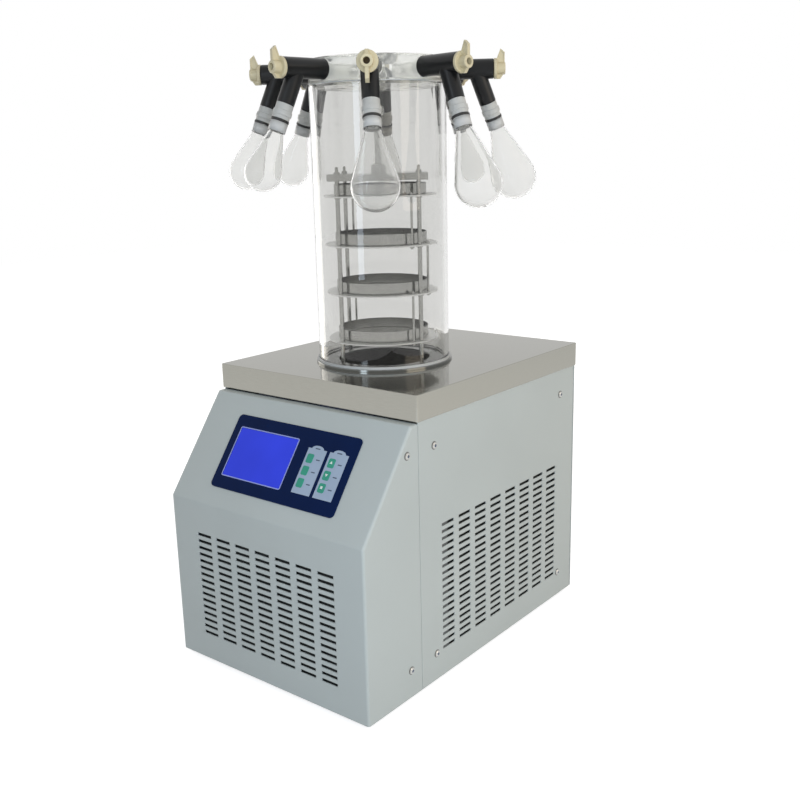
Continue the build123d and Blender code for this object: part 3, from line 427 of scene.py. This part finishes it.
def on_fascia(x, up, height=0.0):
    """A frame on the fascia's outer face, with X to the right, Y up the slope and Z outwards."""
    across = Vector((1, 0, 0))
    lift = fascia_level + height - fascia_centre.dot(slope_normal)
    place = fascia_centre + across * x + slope_up * up + slope_normal * lift
    turn = Matrix((across, slope_up, slope_normal)).transposed().to_4x4()
    return Matrix.Translation(place) @ turn


def fascia_place(box):
    """Where a node's middle lies on the fascia: (across, up the slope)."""
    offset = middle(box) - fascia_centre
    return offset.x, offset.dot(slope_up)


def make_screen_frame():
    """The pale rim around the display."""
    width, height = screen_opening
    rim = screen_rim
    outer = rounded_outline(width + 2 * rim, height + 2 * rim, screen_corner + rim)
    inner = rounded_outline(width, height, screen_corner)
    place = on_fascia(*fascia_place(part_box("display_screen")))
    rim_maker = frame_maker(outer, inner, place, screen_rim_height)
    piece("screen_frame", rim_maker, extra["frame_pale"])


def plate_outline(width, height, tab_width, tab_height):
    """A key plate: a rectangle with a domed tab on its upper edge."""
    half, top = width / 2, height / 2
    dome = [
        (tab_width / 2 * cos(turn), top + tab_height * sin(turn))
        for turn in (pi * step / 10 for step in range(11))
    ]
    return [(-half, -top), (half, -top), (half, top), *dome, (-half, top)]


def printed_bar(name, width, x, up):
    """A short rounded bar printed on a key plate."""
    bar = rounded_outline(width, print_bar_height, print_bar_height / 3)
    place = on_fascia(x, up, plate_thickness + 0.01 * MM)
    piece(name, slab(bar, place, print_thickness), extra["print_and_recess_shade"])


def make_key_plates():
    """Two pale plates around the key columns, with printed bars beside the keys."""
    places = [fascia_place(box) for box in key_boxes]
    for column, keys in enumerate((places[:3], places[3:]), 1):
        key_x = keys[0][0]
        plate_x = key_x + plate_right_of_keys
        plate_up = keys[1][1]
        outline = plate_outline(*plate_size, *plate_tab)
        piece(
            f"key_plate_{column}",
            slab(outline, on_fascia(plate_x, plate_up), plate_thickness),
            extra["plate_grey"],
        )
        for row, (_, up) in enumerate(keys, 1):
            name = f"key_mark_{column}_{row}"
            printed_bar(name, key_bar, key_x + key_bar_right_of_keys, up)
        printed_bar(f"plate_mark_{column}", plate_bar, plate_x, plate_up + plate_bar_up)


def make_key_symbols():
    """Marks printed on the right-hand keys: an upward arrow, a downward one and a square."""
    upward = [(-2.6, -1.6), (2.6, -1.6), (0, 2.4)]
    downward = [(x, -y) for x, y in reversed(upward)]
    for number, shape in zip((4, 5, 6), (upward, downward, box_outline(3.8, 3.8))):
        x, up = fascia_place(key_boxes[number - 1])
        place = on_fascia(x, up + 0.8 * MM, key_face_height)
        piece(
            f"key_symbol_{number}",
            slab(scaled(shape), place, print_thickness + 0.02 * MM),
            extra["mark_white"],
            body=f"key_{number}",
        )


# ------------------------------------------------------------ manifold details
def port_place(index):
    """A frame on one port's axis at the chamber's axis, with X pointing outwards."""
    azimuth = first_port + index * 2 * pi / port_count - pi / 2
    on_axis = Matrix.Translation((axis_place.x, axis_place.y, lid_mid))
    return on_axis @ Matrix.Rotation(azimuth, 4, "Z")


def branch_place(index, down):
    """A frame on a valve's branch line, with -Z down the branch, at a distance from its start."""
    twist = Matrix.Rotation(radians(valve_twists[index]), 4, "X")
    start = Matrix.Translation((branch_from_axis, 0, 0))
    tilt = Matrix.Rotation(-branch_tilt, 4, "Y")
    return port_place(index) @ twist @ start @ tilt @ Matrix.Translation((0, 0, -down))


def disc_outline(radius, steps=32):
    """A circle as an (x, y) outline."""
    turns = (2 * pi * step / steps for step in range(steps))
    return [(radius * cos(turn), radius * sin(turn)) for turn in turns]


washer_section = scaled([(4.8, -2.6), (5.9, -2.6), (5.9, -2.2), (5.7, -2.0), (4.8, -2.0)])
joint_ring = scaled(
    [(8.6, -1.7), (12.2, -1.7), (12.7, -1.1), (12.7, 1.1), (12.2, 1.7), (8.6, 1.7)]
)
neck_sleeve = scaled([(11.85, -15.6), (12.15, -15.6), (12.15, -2.2), (11.85, -2.2)])


def make_branch_rings():
    """The dark ring between each adapter and its flask, and the frosted sleeve on the neck."""
    for index in range(port_count):
        place = branch_place(index, joint_ring_down)
        for name, outline, material, slot in (
            ("joint_ring", joint_ring, extra["seal_black"], "rubber_black"),
            ("neck_sleeve", neck_sleeve, extra["neck_frost"], "frosted_glass"),
        ):
            made = piece(f"{name}_{index + 1}", lathe(outline, place), material)
            made.data.shade_smooth()


def make_hub_shade_discs():
    """A disc of painted shade at the floor of the hole in each stopcock's hub."""
    for index in range(port_count):
        facing = Matrix.Rotation(pi / 2, 4, "Y")
        place = port_place(index) @ Matrix.Translation((hub_floor, 0, 0)) @ facing
        # each disc is painted shade where the hole's floor lies in shadow
        piece(
            f"hub_bottom_{index + 1}",
            slab(disc_outline(4.5 * MM), place, 0.1 * MM),
            extra["hub_shadow"],
            body=f"valve_knob_{index + 1}",
        )


# ------------------------------------------------------------ behind the louvres
def upright(name, low, high, material, slot):
    """A plain sheet or strip between two corners."""
    width, depth, tall = (b - a for a, b in zip(low, high))
    place = Matrix.Translation(((low[0] + high[0]) / 2, (low[1] + high[1]) / 2, low[2]))
    piece(name, slab(box_outline(width, depth), place, tall), material)


def make_shade_filters():
    """Dark foam filters clipped just inside each louvred wall, their darkness painted shade for
    the cabinet's inside.
    """
    near = shade_filter_gap + shade_filter_sheet
    side = casing_half - wall_sheet
    front = cover_low.y + wall_sheet
    rear = rear_face - wall_sheet
    side_low, side_high = side_shade_filter
    front_low, front_high = front_shade_filter
    rear_low, rear_high = rear_shade_filter
    start, end = side_span
    corners = {
        "right": ((side - near, start, side_low), (side - shade_filter_gap, end, side_high)),
        "left": ((shade_filter_gap - side, start, side_low), (near - side, end, side_high)),
        "front": (
            (-front_span, front + shade_filter_gap, front_low),
            (front_span, front + near, front_high),
        ),
        "rear": ((-rear_span, rear - near, rear_low), (rear_span, rear - shade_filter_gap, rear_high)),
    }
    for name, (low, high) in corners.items():
        # each sheet is dark foam and painted shade for the cabinet's inside seen through the
        # louvres
        upright(f"filter_{name}", low, high, extra["filter_foam_shade"], "fan_plastic")


def make_seam_strips():
    """The painted return seen in the seams between the front cover and the side panels."""
    start = top_low.y + seam_start
    outer = casing_half - seam_set_back
    inner = outer - seam_depth
    for name, low, high in (("left", -outer, -inner), ("right", inner, outer)):
        corners = (low, start, cover_low.z), (high, start + seam_width, cover_high.z)
        upright(f"seam_strip_{name}", *corners, finishes["casing_paint"], "casing_paint")


# ------------------------------------------------------------ screws
def solid_boxes(name):
    """Corner boxes of the separate solids of one node, in the shared frame."""
    node = nodes[name]
    model = bmesh.new()
    model.from_mesh(node.data)
    model.transform(node.matrix_world)
    bmesh.ops.remove_doubles(model, verts=model.verts, dist=1e-6)
    left = set(model.verts)
    boxes = []
    while left:
        front = [left.pop()]
        seen = []
        while front:
            vertex = front.pop()
            seen.append(vertex.co.copy())
            for edge in vertex.link_edges:
                other = edge.other_vert(vertex)
                if other in left:
                    left.remove(other)
                    front.append(other)
        boxes.append([Vector(map(pick, zip(*seen))) for pick in (min, max)])
    model.free()
    return boxes


def screw_heads():
    """The middle of each screw's outer face, and the way it points."""
    places = []
    for low, high in solid_boxes("casing_screws"):
        mid = (low + high) / 2
        if high.y - low.y > high.x - low.x:
            places.append((Vector((mid.x, high.y, mid.z)), Vector((0, 1, 0))))
        elif mid.x > 0:
            places.append((Vector((high.x, mid.y, mid.z)), Vector((1, 0, 0))))
        else:
            places.append((Vector((low.x, mid.y, mid.z)), Vector((-1, 0, 0))))
    return places


def make_screw_details():
    """A flat disc of painted shade for the recess in each screw head, and a plated washer around
    it, its dark zinc partly painted shadow around the head.
    """
    for number, (centre, outwards) in enumerate(screw_heads(), 1):
        turn = outwards.to_track_quat("Z", "Y").to_matrix().to_4x4()
        place = Matrix.Translation(centre) @ turn
        recess = slab(disc_outline(recess_radius), place, 0.06 * MM)
        washer = lathe(washer_section, place)
        # a flat dark disc: painted shade for the recess in the screw head
        piece(f"screw_recess_shade_{number}", recess, extra["print_and_recess_shade"])
        # the washer's dark ring is partly painted shadow around the head
        piece(f"screw_washer_{number}", washer, extra["washer_zinc_and_shade"])


# ------------------------------------------------------------ surroundings
floor_half = 6.0
floor_grey = 0.55
floor_glow = 0.8
ambient = 0.38
seen_kinds = ("Is Camera Ray", "Is Glossy Ray", "Is Transmission Ray")


def add_rays(tree, light_path, names):
    """1 where the ray is any of the named kinds."""
    total = light_path.outputs[names[0]]
    for name in names[1:]:
        pick = tree.nodes.new("ShaderNodeMath")
        pick.operation = "MAXIMUM"
        tree.links.new(total, pick.inputs[0])
        tree.links.new(light_path.outputs[name], pick.inputs[1])
        total = pick.outputs[0]
    return total


def make_floor():
    """A floor that looks nearly white but throws little light back up."""
    mesh = bpy.data.meshes.new("floor")
    model = bmesh.new()
    bmesh.ops.create_grid(model, x_segments=1, y_segments=1, size=floor_half)
    model.to_mesh(mesh)
    model.free()
    floor = bpy.data.objects.new("floor", mesh)
    bpy.context.scene.collection.objects.link(floor)
    material = bpy.data.materials.new("floor_white")
    material.use_nodes = True
    tree = material.node_tree
    tree.nodes.clear()
    light_path = tree.nodes.new("ShaderNodeLightPath")
    seen = add_rays(tree, light_path, seen_kinds)
    diffuse = tree.nodes.new("ShaderNodeBsdfDiffuse")
    diffuse.inputs["Color"].default_value = (floor_grey, floor_grey, floor_grey, 1)
    glow = tree.nodes.new("ShaderNodeEmission")
    glow.inputs["Color"].default_value = (1, 1, 1, 1)
    glow.inputs["Strength"].default_value = floor_glow
    both = tree.nodes.new("ShaderNodeAddShader")
    mix = tree.nodes.new("ShaderNodeMixShader")
    out = tree.nodes.new("ShaderNodeOutputMaterial")
    tree.links.new(diffuse.outputs[0], both.inputs[0])
    tree.links.new(glow.outputs[0], both.inputs[1])
    tree.links.new(seen, mix.inputs[0])
    tree.links.new(diffuse.outputs[0], mix.inputs[1])
    tree.links.new(both.outputs[0], mix.inputs[2])
    tree.links.new(mix.outputs[0], out.inputs["Surface"])
    mesh.materials.append(material)


def make_world():
    """White to look at, dimmer as a light."""
    world = bpy.data.worlds.new("studio")
    bpy.context.scene.world = world
    world.use_nodes = True
    tree = world.node_tree
    background = tree.nodes["Background"]
    light_path = tree.nodes.new("ShaderNodeLightPath")
    seen = add_rays(tree, light_path, seen_kinds)
    strength = tree.nodes.new("ShaderNodeMapRange")
    strength.inputs["To Min"].default_value = ambient
    strength.inputs["To Max"].default_value = 1.0
    tree.links.new(seen, strength.inputs["Value"])
    tree.links.new(strength.outputs["Result"], background.inputs["Strength"])
    background.inputs["Color"].default_value = (1, 1, 1, 1)


def add_lamp(name, place, aim, size, power, colour, mirrored=True, lighting=True):
    """A rectangular lamp; mirrored: seen in reflections, lighting: reaches matt surfaces."""
    lamp = bpy.data.lights.new(name, "AREA")
    lamp.color = colour
    lamp.shape = "RECTANGLE"
    lamp.size, lamp.size_y = size
    lamp.energy = power
    made = bpy.data.objects.new(name, lamp)
    bpy.context.scene.collection.objects.link(made)
    made.location = place
    made.rotation_euler = (Vector(aim) - Vector(place)).to_track_quat("-Z", "Y").to_euler()
    made.visible_glossy = mirrored
    made.visible_diffuse = lighting
    made.visible_transmission = False


camera_place = (0.9478, -1.1585, 0.7462)
camera_turn = 38.593
camera_dip = 14.119
camera_roll = -1.332
camera_lens = 44.0


def make_camera():
    """The camera, in front of the object, to its right and a little above."""
    camera = bpy.data.cameras.new("camera")
    camera.sensor_width = 36
    camera.lens = camera_lens
    made = bpy.data.objects.new("camera", camera)
    bpy.context.scene.collection.objects.link(made)
    turn = (
        Matrix.Rotation(radians(camera_turn), 4, "Z")
        @ Matrix.Rotation(radians(90 - camera_dip), 4, "X")
        @ Matrix.Rotation(radians(camera_roll), 4, "Z")
    )
    made.matrix_world = Matrix.Translation(camera_place) @ turn
    bpy.context.scene.camera = made


def make_lamps():
    """Soft boxes around the object, and a strip that only shows in reflections."""
    middle_height = (0, 0, 0.45)
    box = (1.2, 1.2)
    warm, cool, soft = (1.0, 0.86, 0.69), (0.74, 0.86, 1.0), (1.0, 0.95, 0.88)
    add_lamp("side_light", (2.2, 0.1, 1.2), middle_height, (1.4, 1.4), 14.5, warm)
    add_lamp("front_light", (1.15, -1.3, 0.85), middle_height, box, 15.5, cool, mirrored=False)
    add_lamp("left_light", (-2.3, 0.25, 0.62), middle_height, box, 13.0, soft)
    add_lamp("rear_light", (-0.5, 2.5, 1.1), middle_height, box, 14.0, soft, mirrored=False)
    strip = (0.32, 1.1)
    add_lamp("strip_light", (0.15, -1.75, 0.9), (0, 0, 0.62), strip, 7.0, cool, lighting=False)


make_screen_frame()
make_key_plates()
make_key_symbols()
make_branch_rings()
make_hub_shade_discs()
make_shade_filters()
make_seam_strips()
make_screw_details()
make_floor()
make_world()
make_lamps()
make_camera()
bpy.context.scene.view_settings.view_transform = "Standard"
